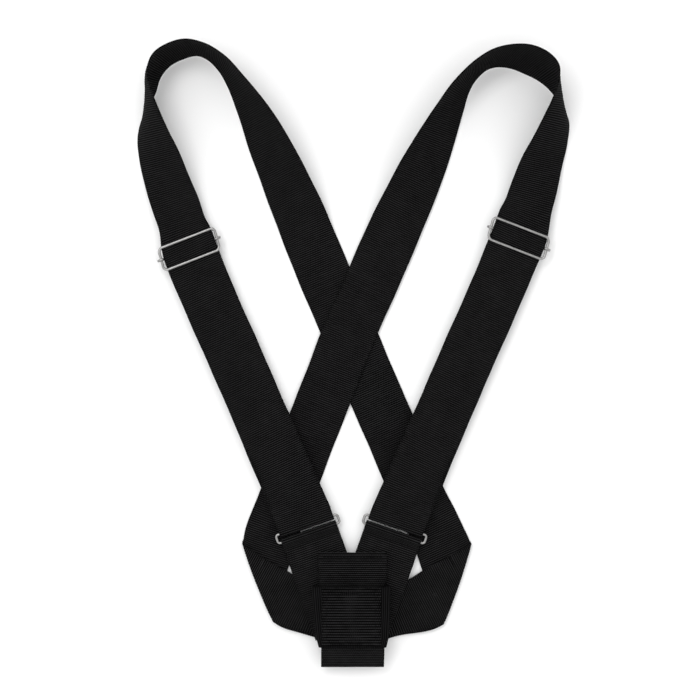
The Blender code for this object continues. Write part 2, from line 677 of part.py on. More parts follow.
def make_hem_stitching(collection):
    z = STRIP_BACK_Z + LAYER_STEP + THREAD_LIFT
    middle = np.array([STRIP_X, STRIP_TOP_Y - 0.7 * HEM])
    points = seam_points(middle, (0.0, -1.0), HEM_SEAM_HALF, z)
    wire("cup_hem_stitching", points, collection, THREAD_R, BLACK_THREAD)


def make_side(side_name, side, collection):
    loop = make_shoulder_loop(side_name, side, collection)
    make_front_run(side_name, side, loop, collection)
    make_ring_turn(side_name, side, collection)
    make_under_strap(side_name, side, collection)
    make_slide(side_name, side, collection)
    make_strap_end(side_name, side, collection)
    make_ring(side_name, side, collection)
    make_tab(side_name, side, collection)
    waist_start, incoming = make_waist_run(side_name, side, collection)
    make_back_run(side_name, side, loop, waist_start, incoming, collection)


def main():
    for node in list(bpy.data.objects):
        bpy.data.objects.remove(node)
    collection = bpy.data.collections.new("carrying_harness")
    bpy.context.scene.collection.children.link(collection)
    for side_name, side in SIDES.items():
        make_side(side_name, side, collection)
    make_cup_strip(collection)
    make_cup_band(collection)
    make_front_patch(collection)
    make_hem_stitching(collection)


main()
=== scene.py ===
import math

import bpy
import numpy as np
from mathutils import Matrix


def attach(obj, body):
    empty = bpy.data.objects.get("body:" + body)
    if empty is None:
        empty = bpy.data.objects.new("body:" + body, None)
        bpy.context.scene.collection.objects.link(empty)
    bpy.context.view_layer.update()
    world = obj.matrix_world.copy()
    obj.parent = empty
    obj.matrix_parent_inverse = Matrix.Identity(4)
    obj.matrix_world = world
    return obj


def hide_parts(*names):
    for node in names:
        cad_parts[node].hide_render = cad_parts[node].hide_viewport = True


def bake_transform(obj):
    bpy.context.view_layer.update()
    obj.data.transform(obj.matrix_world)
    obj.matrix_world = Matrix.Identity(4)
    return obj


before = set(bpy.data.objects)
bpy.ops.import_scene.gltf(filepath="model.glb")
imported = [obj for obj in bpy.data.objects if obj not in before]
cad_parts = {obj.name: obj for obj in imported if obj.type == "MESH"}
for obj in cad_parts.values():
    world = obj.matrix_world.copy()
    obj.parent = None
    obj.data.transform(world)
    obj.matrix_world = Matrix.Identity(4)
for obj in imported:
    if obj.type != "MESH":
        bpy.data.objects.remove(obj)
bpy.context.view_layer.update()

MM = 0.001

# Webbing and its layers, as in the frame
WEB = 1.5 * MM
GAP = 0.3 * MM
STRAP_WIDTH = 50.8 * MM
LAYER_0 = WEB / 2
LAYER_STEP = WEB + GAP
LAYER_1 = LAYER_0 + LAYER_STEP
TAB_Z = LAYER_0 + 2 * LAYER_STEP

# Wire hardware
WIRE_R = 1.25 * MM
BAR_WRAP_R = WIRE_R + GAP + WEB / 2
RING_PLAY = 0.9 * MM
RING_WRAP_R = WIRE_R + RING_PLAY + WEB / 2
CENTER_BAR_Z = WEB + GAP + BAR_WRAP_R + WEB / 2 + 0.05 * MM
FRONT_Z = CENTER_BAR_Z + BAR_WRAP_R + WEB + GAP
OUTER_BAR_Z = FRONT_Z + WEB / 2 + GAP + WIRE_R
RING_Z = FRONT_Z - RING_WRAP_R
UNDER_Z = RING_Z - RING_WRAP_R

# Front runs, slides, rings and tabs
FRONT_LEAN = math.radians(23.5)
RING_FOLD = (41.3 * MM, -165.2 * MM)
FRONT_INSET = 1.4 * MM     # how far the run bows towards the middle
FRONT_ROWS = (             # distance down from the shoulder loop, width, and bow near the slide
    (12 * MM, 50.6 * MM, 3.9 * MM),
    (23 * MM, 52.2 * MM, 2.5 * MM),
    (34 * MM, 52.2 * MM, 1.8 * MM),
    (60 * MM, 51.6 * MM, FRONT_INSET),
    (130 * MM, 51.6 * MM, FRONT_INSET),
)
FRONT_WIDTH_LOW = 52 * MM
FRONT_LAST_STOP = 40 * MM  # from the run's last row to the ring
FRONT_WIDTH_RING = 54 * MM
SLIDE_LENGTH = 56.4 * MM
SLIDE_HEIGHT = 21.4 * MM
SLIDE_CORNER = 4.2 * MM
SLIDE_TILT = math.radians(21.2)
SLIDE_SKEW = 0.1
STRAP_END_WIDTH = 47 * MM
HOOK_R = 2 * WIRE_R + GAP
HOOK_SWEEP = (-90, 135)    # degrees round the rail
HOOK_LEAD = ((10, 0), (4.5, 0), (2.2, 0.6))   # mm inwards of the rail, and rise above the bar
STRAP_END_TAIL = 26 * MM
STRAP_END_SEAM = 20 * MM   # from the centre bar to the seam
STRAP_END_SEAM_HALF = 20 * MM
STRAP_END_LAP = 2.8 * MM   # a little more than the bar's play, so that the lap never opens
RING_TILT = math.radians(19.2)
RING_LENGTH = 61.6 * MM
RING_HEIGHT = 8.2 * MM
RING_CORNER = 2.4 * MM
TURN_LEAD = 3 * MM
TURN_TAIL = 8 * MM
TAB_WIDTH = 55.2 * MM
TAB_LEAN = math.radians(19.2)
TAB_END_Y = -268 * MM
TAB_SEAM = 7.5 * MM
TAB_SEAM_HALF = 26 * MM
TAB_SEAM_RISE = 0.3 * MM
TAB_FIRST_STOPS = (6, 11, 18, 26)    # mm from the ring's lower bar
TAB_DROP = (5 * MM, 18 * MM)         # between these the tab comes from the ring to its own layer
CENTER_SEAM = 0.5 * MM

# Side fold
FOLD_R = 1.4 * MM
CREASE_PULL = 2.6 * MM     # how far the ends of a crease are drawn in, which rounds its corners
CREASE_SPREAD = 7 * MM
FOLD_STOPS = (-25 * MM, 0.0, 25 * MM, 44 * MM)   # places along the way in, about the crease
FOLD_LEAD = 46 * MM
FOLD_COLUMNS = 71
STRAP_COLUMNS = 15
SPLIT_LEAD = 92 * MM       # strap and side fold meet this far above the crease, out of sight
FOLD_SETTLE = 26 * MM      # the folded layer comes down to the one below it within this distance
CROSSING_BELOW_Y = -41 * MM   # the upper back run starts down to the ground here
CROSSING_DOWN = 19 * MM       # and is down after this much more
BACK_WIDTH = 0.99 * STRAP_WIDTH
RETURN_SETTLE = (58 * MM, 80 * MM)   # the return run comes down to the ground between these
SEAM_MARGIN = 1 * MM       # the return run's end is this much longer at each edge

# Cup
STRIP_X = 1.3 * MM
BAND_BACK_Z = TAB_Z + 2 * LAYER_STEP
STRIP_BACK_Z = BAND_BACK_Z + LAYER_STEP
POCKET = 8.6 * MM
STRIP_FRONT_Z = STRIP_BACK_Z + POCKET + WEB
BAND_FRONT_Z = STRIP_FRONT_Z + LAYER_STEP
PATCH_Z = BAND_FRONT_Z + LAYER_STEP
STRIP_TOP_Y = -187.2 * MM
STRIP_TIP_Y = -295.5 * MM
STRIP_WIDTH_TOP = 65 * MM
STRIP_WIDTH = 59.4 * MM
STRIP_NARROW_Y = -262 * MM
HEM = 6.5 * MM
HEM_SEAM_HALF = 28 * MM
TIP_R = 2.2 * MM           # the fold at the closed end
BAND_TOP_Y = -218.5 * MM
BAND_BOTTOM_Y = -276 * MM
BAND_CORNER = 2.2 * MM
BAND_END_GAP = 0.15 * MM   # between each end of the band and the middle
BAND_OUTLINE = np.array((  # y, middle and half width, from the bottom up
    (BAND_BOTTOM_Y, STRIP_X, 31.9 * MM),
    (-267 * MM, 1.2 * MM, 34 * MM),
    (-240 * MM, 0.5 * MM, 36 * MM),
    (BAND_TOP_Y, 0.0, 37 * MM),
))
PATCH_SIZE = (55.9 * MM, 54.4 * MM)
PATCH_CENTER = (0.0, -247 * MM)
BOX_STITCH_INSET = 5 * MM
BOX_GROOVE = (0.3 * MM, 0.9 * MM)    # depth and half width
PATCH_WEAVE = 0.78         # ribs in the patch for each rib in the same length of strap

# Weave: ribs across the webbing, and the warp threads that show as painted highlight dots along
# each rib
RIB = 1.95 * MM
ROWS_A_RIB = 4
RIB_DEPTH = 0.28 * MM
RIB_UNEVENNESS = 0.18      # share by which the ribs differ in depth
WARP = 1.7 * MM
HALF_THICK = 0.74 * MM
FINE_STEP = 0.4 * MM       # measuring step along a piece
EDGE_ROUND = 0.8 * MM
EDGE_COLUMNS = np.array([0, 0.12, 0.38, 0.8, 2.6]) * MM   # the first columns in from each edge
EDGE_WANDER = ((0.16 * MM, 17 * MM, 0), (0.12 * MM, 7.3 * MM, 2))    # height, length, phase
EDGE_SCALLOP = 0.1 * MM
EDGE_POWER = 9             # keeps the wander and the scallops to the edges
RIPPLE = ((0.07 * MM, 23 * MM, 1, 0), (0.05 * MM, 9 * MM, 0, 3))     # height, length, phase, slant
SELVAGE = 2.6 * MM
SELVAGE_FLAT = 0.4 * SELVAGE
SELVAGE_RIB = 0.3          # share of a rib's depth that is left in the selvage
STITCH = 3.1 * MM
STITCH_FILL = 0.82         # share of its step that a stitch covers
STITCH_DIP = 1.4           # how deep the ends of a stitch dip, in thread radii
STITCH_TIP = 0.45          # share of the thread's radius at the ends of a stitch
THREAD_R = 0.3 * MM
WIRE_TIP = 0.8             # share of the wire's radius at its cut ends

# Shoulder loops in mm: the rising edge (x, y, z), the edge that stays low (x, y, z) and how far
# the webbing bows outwards between them. From the front run, over the top, to the back run.
LOOP_LEFT = [
    (-138, 129, 0, -181, 114, 0, 0), (-144, 147, 11, -187, 132, 7.5, 0),
    (-153, 169, 20, -195, 158, 4, 0), (-162, 191, 31, -201, 184, 1.5, 2),
    (-172, 212, 41, -202, 209, 0.9, 4), (-180, 231, 46, -195, 230, 0.9, 6),
    (-186, 247, 48, -186, 247, 0.9, 7), (-189, 263, 48.5, -181, 262, 0.9, 6),
    (-184, 278, 48.5, -172, 273, 0.9, 4), (-170, 288, 48.5, -159, 280, 0.9, 3),
    (-153, 292, 48.5, -146, 283, 0.9, 3), (-136, 288, 48.5, -136, 279, 0.9, 3),
    (-118, 277, 48, -126, 269, 0.9, 3), (-100, 258, 46.5, -117, 253, 0.9, 3),
    (-83, 238, 43.5, -108, 229, 0.9, 3), (-65, 213, 36, -99, 200, 0.9, 2),
    (-48, 184, 27, -87, 167, 0.9, 1), (-33, 155, 15, -76, 136, 0.9, 0),
    (-13, 110, 0, -59, 91, 0, 0),
]
LOOP_RIGHT = [
    (145, 145, 0, 189, 131, 0, 0), (151, 162, 13, 194, 151, 7, 0),
    (160, 184, 25, 200, 177, 3, 0), (171, 205, 38, 205, 201, 1.1, 3),
    (180, 223, 45, 206, 222, 0.9, 5), (187, 238, 47.5, 198, 238, 0.9, 6),
    (192, 253, 48.5, 187, 252, 0.9, 6), (193, 266, 48.5, 178, 259, 0.9, 5),
    (185, 278, 48.5, 164, 266, 0.9, 4), (169, 286, 48.5, 151, 271, 0.9, 3),
    (151, 287, 48.5, 138, 272, 0.9, 3), (133, 283, 48.5, 128, 269, 0.9, 3),
    (116, 273, 48, 119, 261, 0.9, 3), (97, 255, 46, 112, 249, 0.9, 3),
    (81, 234, 42, 106, 229, 0.9, 3), (64, 209, 34, 98, 200, 1, 2),
    (48, 184, 26, 88, 169, 1.5, 1), (32, 155, 14, 75, 135, 2.2, 0),
    (10, 110, 0, 56, 89, 0, 0),
]
SIDES = {
    "left": {
        "sign": -1, "loop": LOOP_LEFT, "slide_middle": (-153.1 * MM, 99 * MM),
        "back_z": LAYER_0, "back_route": [(-1.9, 19.7), (33, -62), (66.8, -140.6)],
        "fold_middle": (101.8, -215.2), "fold_lean": 19, "fold_turn": 43,
        "fold_widths": (54.6, 56.4, 56.2, 53.6),
        "return_route": [(36, -243.8), (0, -254.5)],
    },
    "right": {
        "sign": 1, "loop": LOOP_RIGHT, "slide_middle": (158.2 * MM, 109.2 * MM),
        "back_z": LAYER_1, "back_route": [(-1.9, 19.7), (-31, -55), (-64, -140.6)],
        "fold_middle": (-89.9, -213.8), "fold_lean": -21.5, "fold_turn": 39.5,
        "fold_widths": (50.8, 49.4, 49.6, 50.6),
        "return_route": [(-36, -242), (0, -254)],
    },
}


# ---------------------------------------------------------------------------------------- shapes

def smooth_step(value, start, end):
    t = np.clip((value - start) / (end - start), 0.0, 1.0)
    return t * t * (3 - 2 * t)


def unit(vectors):
    """Each vector divided by its own length."""
    vectors = np.asarray(vectors, float)
    return vectors / np.linalg.norm(vectors, axis=-1, keepdims=True)


def read_smoothly(controls, stations, places):
    """Cubic between stations, each with the slope of the parabola through it and its neighbours."""
    slopes = np.gradient(controls, stations, axis=0)
    k = np.clip(np.searchsorted(stations, places) - 1, 0, len(stations) - 2)
    step = (stations[k + 1] - stations[k])[:, None]
    t = (places - stations[k])[:, None] / step
    start, end = controls[k], controls[k + 1]
    bend = t * (t - 1) * ((t - 1) * slopes[k] + t * slopes[k + 1]) * step
    ease = t * t * (3 - 2 * t)
    return start + (end - start) * ease + bend


def middles(rows):
    """The middle of every row."""
    return (rows[:, :3] + rows[:, 3:6]) / 2


def lengths_along(path):
    """How far along the path each of its points lies."""
    return np.r_[0, np.cumsum(np.linalg.norm(np.diff(path, axis=0), axis=1))]


def even_rows(controls):
    """Control rows (edge, other edge, bow) read again at even steps along their middle line."""
    controls = np.asarray(controls, float)
    stations = lengths_along(middles(controls))
    count = 8 * len(controls) + int(stations[-1] / FINE_STEP)
    places = np.linspace(0, stations[-1], count)
    arc = lengths_along(middles(read_smoothly(controls, stations, places)))
    along = np.arange(int(arc[-1] * ROWS_A_RIB / RIB) + 1) * RIB / ROWS_A_RIB
    return read_smoothly(controls, stations, np.interp(along, arc, places)), along


def shares_across(width, columns):
    """Shares of the width: close together in the rounded edges, even between them."""
    near = EDGE_COLUMNS / width
    inner = np.linspace(near[-1], 1 - near[-1], columns - 2 * (len(near) - 1))
    return np.r_[near[:-1], inner, 1 - near[:-1][::-1]]


def sheet_grid(rows, columns=STRAP_COLUMNS, outward=1.0):
    """Points across every row: a straight line between the edges, bowed by a parabola. Returns
    them, how far across each of them lies, and the width of every row."""
    edge, reach, bow = rows[:, :3], rows[:, 3:6] - rows[:, :3], rows[:, 6]
    width = np.linalg.norm(reach, axis=1)
    share = shares_across(width.mean(), columns)
    grid = edge[:, None] + reach[:, None] * share[None, :, None]
    if np.any(bow):
        normal = unit(np.cross(np.gradient(middles(rows), axis=0), reach))
        hump = 4 * share * (1 - share)
        grid = grid + outward * normal[:, None] * (bow[:, None] * hump)[..., None]
    return grid, width[:, None] * share, width


def weave_height(along, across, width, rib_share, border):
    """Half thickness of the webbing: a cosine rib along it, flatter in the selvages or the sewn
    border, with every rib a little different, and a quarter circle down to nothing at each edge."""
    from_edge = np.minimum(across, width - across)
    inner = SELVAGE_RIB + (1 - SELVAGE_RIB) * smooth_step(border, SELVAGE_FLAT, SELVAGE)
    number = np.floor(along / RIB + 0.5)
    uneven = 1 - RIB_UNEVENNESS * (1 - np.sin(number * 2.4) * np.sin(number * 0.73 + 1))
    rib = 0.5 - 0.5 * np.cos(2 * math.pi * along / RIB)
    height = HALF_THICK - RIB_DEPTH * rib_share * rib * uneven * inner
    depth = np.clip(1 - from_edge / EDGE_ROUND, 0, 1)
    return height * np.sqrt(np.clip(1 - depth * depth, 0, 1))


def strip_faces(rows, ring):
    """Quads between neighbouring rows of a closed ring of points, and the two flat ends."""
    i, j = np.meshgrid(np.arange(rows - 1), np.arange(ring), indexing="ij")
    k = (j + 1) % ring
    quads = np.stack([i * ring + j, i * ring + k, (i + 1) * ring + k, (i + 1) * ring + j], axis=-1)
    first = np.arange(ring)[::-1]
    last = (rows - 1) * ring + np.arange(ring)
    return quads.reshape(-1, 4), first, last


def add_piece(name, points, quads, ends, uv, edge, material):
    """Put the arrays into a mesh, turned so that its faces point outwards."""
    a, b, c, d = (points[quads[:, n]] for n in range(4))
    volume = (a * np.cross(b, c)).sum() + (a * np.cross(c, d)).sum()
    faces = quads.tolist() + [end.tolist() for end in ends]
    if volume < 0:
        faces = [face[::-1] for face in faces]
    mesh = bpy.data.meshes.new(name)
    mesh.from_pydata(points.tolist(), [], faces)
    layer = mesh.uv_layers.new(name="weave")
    corner = np.zeros(len(mesh.loops), int)
    mesh.loops.foreach_get("vertex_index", corner)
    layer.data.foreach_set("uv", uv[corner].astype(np.float32).ravel())
    if edge is not None:
        from_edge = mesh.attributes.new("from_edge", "FLOAT", "POINT")
        from_edge.data.foreach_set("value", edge.astype(np.float32))
    mesh.shade_smooth()
    mesh.materials.append(material)
    piece = bpy.data.objects.new(name, mesh)
    bpy.context.scene.collection.objects.link(piece)
    return piece


def webbing(name, grid, along, across, width, material, rib_share=1.0, dent=None, border=None):
    """A woven piece round its middle surface: the surface moved both ways along its normal by the
    weave's height, with scalloped selvages that wander a little and low ripples, all of them sums
    of sines. A dent lowers the upper face. The ribs flatten where border is small: it is how far
    each point lies from the nearest edge, or from another line that is given."""
    along_way = np.gradient(grid, axis=0)
    across_way = unit(np.gradient(grid, axis=1))
    normal = unit(np.cross(along_way, across_way))
    v = along[:, None]
    if border is None:
        border = np.minimum(across, width[:, None] - across)
    height = weave_height(v, across, width[:, None], rib_share, border)
    reach = 2 * across / width[:, None] - 1
    wander = sum(high * np.sin(v / long + phase) for high, long, phase in EDGE_WANDER)
    scallop = EDGE_SCALLOP * np.cos(2 * math.pi * v / RIB) * np.sign(reach)
    shift = (wander + scallop) * np.abs(reach) ** EDGE_POWER
    ripple = sum(high * np.sin(v / long + phase + slant * reach)
                 for high, long, phase, slant in RIPPLE)
    middle = grid + across_way * shift[..., None] + normal * ripple[..., None]
    lowered = height if dent is None else height - dent
    upper = middle + normal * lowered[..., None]
    lower = middle - normal * height[..., None]
    points = np.concatenate([upper, lower[:, -2:0:-1]], axis=1)
    uv = np.stack(np.broadcast_arrays(across, v), axis=-1)
    uv = np.concatenate([uv, uv[:, -2:0:-1]], axis=1)
    edge = np.concatenate([border, border[:, -2:0:-1]], axis=1)
    rows, ring = points.shape[:2]
    quads, first, last = strip_faces(rows, ring)
    return add_piece(name, points.reshape(-1, 3), quads, (first, last), uv.reshape(-1, 2),
                     edge.ravel(), material)


def woven_sheet(name, controls, material, columns=STRAP_COLUMNS):
    """Webbing through the control rows."""
    rows, along = even_rows(controls)
    grid, across, width = sheet_grid(rows, columns)
    return webbing(name, grid, along, across, width, material)


def wire(name, path, square, material, closed=True, sides=16, radius=WIRE_R):
    """Round wire: a circle carried along the path. The path lies in a plane square to square."""
    path = np.asarray(path, float)
    if closed:
        tangent = unit(np.roll(path, -1, axis=0) - np.roll(path, 1, axis=0))
    else:
        tangent = unit(np.gradient(path, axis=0))
    square = np.broadcast_to(unit(square), path.shape)
    sideways = np.cross(tangent, square)
    angle = 2 * math.pi * np.arange(sides) / sides
    cosine, sine = np.cos(angle)[:, None], np.sin(angle)[:, None]
    circle = cosine * sideways[:, None] + sine * square[:, None]
    swell = np.full(len(path), radius)
    if not closed:
        swell[[0, -1]] *= WIRE_TIP
    points = path[:, None] + circle * swell[:, None, None]
    length = lengths_along(path)
    uv = np.stack(np.broadcast_arrays((angle * radius)[None], length[:, None]), axis=-1)
    quads, first, last = strip_faces(len(path), sides)
    ends = (first, last)
    if closed:
        j = np.arange(sides)
        k = (j + 1) % sides
        tail = (len(path) - 1) * sides
        quads = np.concatenate([quads, np.stack([tail + j, tail + k, k, j], axis=-1)])
        ends = ()
    return add_piece(name, points.reshape(-1, 3), quads, ends, uv.reshape(-1, 2), None, material)


def stitches(name, starts, ends, material, up=(0, 0, 1), rings=7, sides=6):
    """Rows of stitches: each an arched bead of thread that dips into the webbing at both ends.
    A bead's middle line rises as the root of a sine, and its radius falls off towards its ends."""
    up = np.asarray(up, float)
    t = np.linspace(0.04, 0.96, rings)
    arch = np.sqrt(np.sin(math.pi * t))
    angle = 2 * math.pi * np.arange(sides) / sides
    beads = []
    for start, end in zip(np.asarray(starts, float), np.asarray(ends, float)):
        count = max(1, round(np.linalg.norm(end - start) / STITCH))
        step = (end - start) / count
        side = np.cross(unit(step), up)
        place = np.arange(count)[:, None] + 0.5 + (t - 0.5) * STITCH_FILL
        middle = start + place[..., None] * step + up * (arch[:, None] - 1) * STITCH_DIP * THREAD_R
        circle = np.cos(angle)[:, None] * side + np.sin(angle)[:, None] * up
        radius = THREAD_R * (STITCH_TIP + (1 - STITCH_TIP) * arch)
        beads.append(middle[:, :, None] + circle * radius[:, None, None])
    points = np.concatenate(beads)
    number, size = len(points), rings * sides
    quads, first, last = strip_faces(rings, sides)
    offset = np.arange(number)[:, None, None] * size
    caps = [cap + n * size for n in range(number) for cap in (first, last)]
    uv = np.stack(np.broadcast_arrays(angle[None, :] / (2 * math.pi), t[:, None]), axis=-1)
    uv = np.tile(uv.reshape(-1, 2), (number, 1))
    return add_piece(name, points.reshape(-1, 3), (quads[None] + offset).reshape(-1, 4), caps, uv,
                     None, material)


def rounded_rectangle(length, height, corner, steps=10, start_middle=False):
    """Outline of a rounded rectangle about (0, 0): quarter circles with straight runs between."""
    points = []
    for sx, sy, start in ((1, 1, 0), (-1, 1, 90), (-1, -1, 180), (1, -1, 270)):
        angle = np.radians(start + 90 * np.arange(steps + 1) / steps)
        points.append(np.column_stack([sx * (length / 2 - corner) + corner * np.cos(angle),
                                       sy * (height / 2 - corner) + corner * np.sin(angle)]))
    outline = np.concatenate(points)
    if start_middle:
        low = np.array([[0.0, -height / 2]])
        outline = np.concatenate([low, outline[3 * (steps + 1):], outline[:3 * (steps + 1)], low])
    return outline


def placed(points, middle, tilt, z):
    """Local (x, y) or (x, y, lift) points turned by tilt about the middle, at height z."""
    points = np.asarray(points, float)
    lift = points[:, 2] if points.shape[1] == 3 else 0.0
    x = middle[0] + points[:, 0] * math.cos(tilt) - points[:, 1] * math.sin(tilt)
    y = middle[1] + points[:, 0] * math.sin(tilt) + points[:, 1] * math.cos(tilt)
    return np.column_stack([x, y, np.full(len(points), z) + lift])


# ------------------------------------------------------------------------------------- materials

# Noise scales are for the way across the webbing or round the wire, the way along it, and a 1.
FIBRE_SCALE, STREAK_SCALE, FADE_SCALE = (4200, 1300, 1), (150, 520, 1), (45, 45, 1)
DRAWN_SCALE, DULLED_SCALE = (9000, 220, 1), (260, 260, 1)
# The weave's share is painted light: painted highlight on the rib crests and warp dots, painted
# shade between the ribs.
WEAVE_LIGHT_SHARE, STREAK_SHARE = 0.9, 0.4     # what each pattern adds to the webbing's tone
FIBRE_SHARE, FADE_SHARE, WORN_SHARE = 0.3, 0.3, 0.3
CREST_POWER = 1.5                        # narrows the lit crest of a rib
TONE_RANGE = (0.78, 1.6)                 # tones of the darkest and the lightest colour
SHEEN = 0.003
SHEEN_TINT = (0.9, 0.92, 1.0, 1)
PLY_SLANT, PLY_PITCH = 5.0, 0.5


def add_node(tree, kind, inputs=(), **settings):
    """One shader node. Inputs are (socket, value or the socket it is joined to) pairs."""
    node = tree.nodes.new(kind)
    for key, value in settings.items():
        setattr(node, key, value)
    for socket, value in inputs:
        if isinstance(value, bpy.types.NodeSocket):
            tree.links.new(value, node.inputs[socket])
        else:
            node.inputs[socket].default_value = value
    return node


def math_node(tree, operation, *values):
    node = add_node(tree, "ShaderNodeMath", enumerate(values), operation=operation)
    return node.outputs[0]


def new_material(name):
    material = bpy.data.materials.new(name)
    material.use_nodes = True
    return material, material.node_tree, material.node_tree.nodes["Principled BSDF"]


def cosine_wave(tree, value, pitch):
    """From 0 to 1 and back once in every pitch."""
    turn = math_node(tree, "MULTIPLY", value, 2 * math.pi / pitch)
    wave = math_node(tree, "COSINE", turn)
    return math_node(tree, "MULTIPLY_ADD", wave, 0.5, 0.5)


def ramp(tree, factor, low, high, low_at=0.0, high_at=1.0):
    node = add_node(tree, "ShaderNodeValToRGB", [("Fac", factor)])
    node.color_ramp.elements[0].position = low_at
    node.color_ramp.elements[0].color = (*low, 1)
    node.color_ramp.elements[1].position = high_at
    node.color_ramp.elements[1].color = (*high, 1)
    return node.outputs["Color"]


def stretched_noise(tree, place, scale, detail):
    node = add_node(tree, "ShaderNodeVectorMath", [(0, place), (1, scale)], operation="MULTIPLY")
    return add_node(tree, "ShaderNodeTexNoise", [
        ("Vector", node.outputs[0]), ("Scale", 1.0), ("Detail", detail)]).outputs["Fac"]


def ribbed_black(name, dark, light, thread_share, roughness):
    """Black webbing. Warp threads show as painted highlight dots on each rib, half a thread further
    on in each next rib, and the valleys between the ribs are painted shade. Fibre noise, a slow
    fade along the strap and paler worn selvages vary the colour."""
    material, tree, shader = new_material(name)
    place = add_node(tree, "ShaderNodeUVMap", uv_map="weave").outputs["UV"]
    split = add_node(tree, "ShaderNodeSeparateXYZ", [("Vector", place)])
    across, along = split.outputs["X"], split.outputs["Y"]
    rib_number = math_node(tree, "FLOOR", math_node(tree, "MULTIPLY_ADD", along, 1 / RIB, 0.5))
    stepped = math_node(tree, "MULTIPLY_ADD", rib_number, WARP / 2, across)
    rib = cosine_wave(tree, along, RIB)
    thread = cosine_wave(tree, stepped, WARP)
    crest = math_node(tree, "POWER", rib, CREST_POWER)
    dots = math_node(tree, "MULTIPLY", crest, math_node(
        tree, "MULTIPLY_ADD", thread, thread_share, 1 - 0.6 * thread_share))
    edge = add_node(tree, "ShaderNodeAttribute", attribute_name="from_edge").outputs["Fac"]
    inner = add_node(tree, "ShaderNodeMapRange", [
        ("Value", edge), ("From Min", SELVAGE_FLAT), ("From Max", SELVAGE), ("To Min", 0.35),
        ("To Max", 1.0)]).outputs[0]
    fibre = stretched_noise(tree, place, FIBRE_SCALE, 2.0)
    streak = stretched_noise(tree, place, STREAK_SCALE, 1.0)
    fade = stretched_noise(tree, place, FADE_SCALE, 3.0)
    # Painted light: the lit rib crests and highlight dots, with painted shade between the ribs, go
    # into the colour.
    woven = math_node(tree, "MULTIPLY", dots, inner)
    worn = math_node(tree, "SUBTRACT", 1.0, inner)
    tone = math_node(tree, "MULTIPLY", woven, WEAVE_LIGHT_SHARE)
    for pattern, share in ((fibre, FIBRE_SHARE), (streak, STREAK_SHARE), (fade, FADE_SHARE),
                           (worn, WORN_SHARE)):
        tone = math_node(tree, "MULTIPLY_ADD", pattern, share, tone)
    tree.links.new(ramp(tree, tone, dark, light, *TONE_RANGE), shader.inputs["Base Color"])
    rough = add_node(tree, "ShaderNodeMapRange", [
        ("Value", fibre), ("To Min", roughness - 0.1), ("To Max", roughness + 0.1)]).outputs[0]
    tree.links.new(rough, shader.inputs["Roughness"])
    relief = math_node(tree, "MULTIPLY_ADD", fibre, FIBRE_SHARE, woven)
    bump = add_node(tree, "ShaderNodeBump", [
        ("Height", relief), ("Strength", 0.8), ("Distance", 0.25 * MM)])
    tree.links.new(bump.outputs["Normal"], shader.inputs["Normal"])
    shader.inputs["Specular IOR Level"].default_value = 0.02
    shader.inputs["Sheen Weight"].default_value = SHEEN
    shader.inputs["Sheen Roughness"].default_value = 0.5
    shader.inputs["Sheen Tint"].default_value = SHEEN_TINT
    return material


def bright_nickel():
    """Drawn wire with a nickel plate: fine lines along the wire and slightly dulled patches."""
    material, tree, shader = new_material("bright_nickel_wire")
    place = add_node(tree, "ShaderNodeUVMap", uv_map="weave").outputs["UV"]
    lines = stretched_noise(tree, place, DRAWN_SCALE, 2.0)
    dulled = stretched_noise(tree, place, DULLED_SCALE, 3.0)
    tree.links.new(ramp(tree, dulled, (0.24, 0.237, 0.234), (0.36, 0.356, 0.352), 0.3, 0.7),
                   shader.inputs["Base Color"])
    rough = math_node(tree, "MULTIPLY_ADD", dulled, 0.2, 0.2)
    tree.links.new(rough, shader.inputs["Roughness"])
    bump = add_node(tree, "ShaderNodeBump", [
        ("Height", lines), ("Strength", 0.25), ("Distance", 0.04 * MM)])
    tree.links.new(bump.outputs["Normal"], shader.inputs["Normal"])
    shader.inputs["Metallic"].default_value = 1.0
    return material


def black_thread():
    """Twisted sewing thread: slanted plies along each stitch."""
    material, tree, shader = new_material("black_sewing_thread")
    place = add_node(tree, "ShaderNodeUVMap", uv_map="weave").outputs["UV"]
    split = add_node(tree, "ShaderNodeSeparateXYZ", [("Vector", place)])
    slant = math_node(tree, "MULTIPLY_ADD", split.outputs["Y"], PLY_SLANT, split.outputs["X"])
    ply = cosine_wave(tree, slant, PLY_PITCH)
    tree.links.new(ramp(tree, ply, (0.001, 0.001, 0.001), (0.009, 0.009, 0.0095)),
                   shader.inputs["Base Color"])
    bump = add_node(tree, "ShaderNodeBump", [
        ("Height", ply), ("Strength", 0.6), ("Distance", 0.08 * MM)])
    tree.links.new(bump.outputs["Normal"], shader.inputs["Normal"])
    shader.inputs["Roughness"].default_value = 0.7
    shader.inputs["Specular IOR Level"].default_value = 0.04
    return material


# Each webbing ramp's dark end is the painted shade between the ribs, and its light end is the
# painted highlight on the crests.
DEEP_BLACK = (0.0001, 0.0001, 0.0001)
STRAP_BLACK = ribbed_black("strap_webbing_black", DEEP_BLACK, (0.02, 0.0197, 0.0202), 0.9, 0.8)
WIDE_BLACK = ribbed_black("wide_webbing_black", DEEP_BLACK, (0.022, 0.0217, 0.0222), 0.95, 0.78)
PATCH_BLACK = ribbed_black("patch_webbing_black", DEEP_BLACK, (0.019, 0.0187, 0.0192), 0.95, 0.78)
BAND_BLACK = ribbed_black("band_webbing_black", (0.001, 0.001, 0.001), (0.0095, 0.0093, 0.0098),
                          0.3, 0.75)
NICKEL = bright_nickel()
THREAD = black_thread()


def finish_piece(piece, body, slot, *nodes):
    """Fasten a piece to its body and hide the frame's nodes it stands for. The slot, its finish, is
    not used.
    """
    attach(piece, body)
    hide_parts(*nodes)


# ----------------------------------------------------------------------------------- the harness

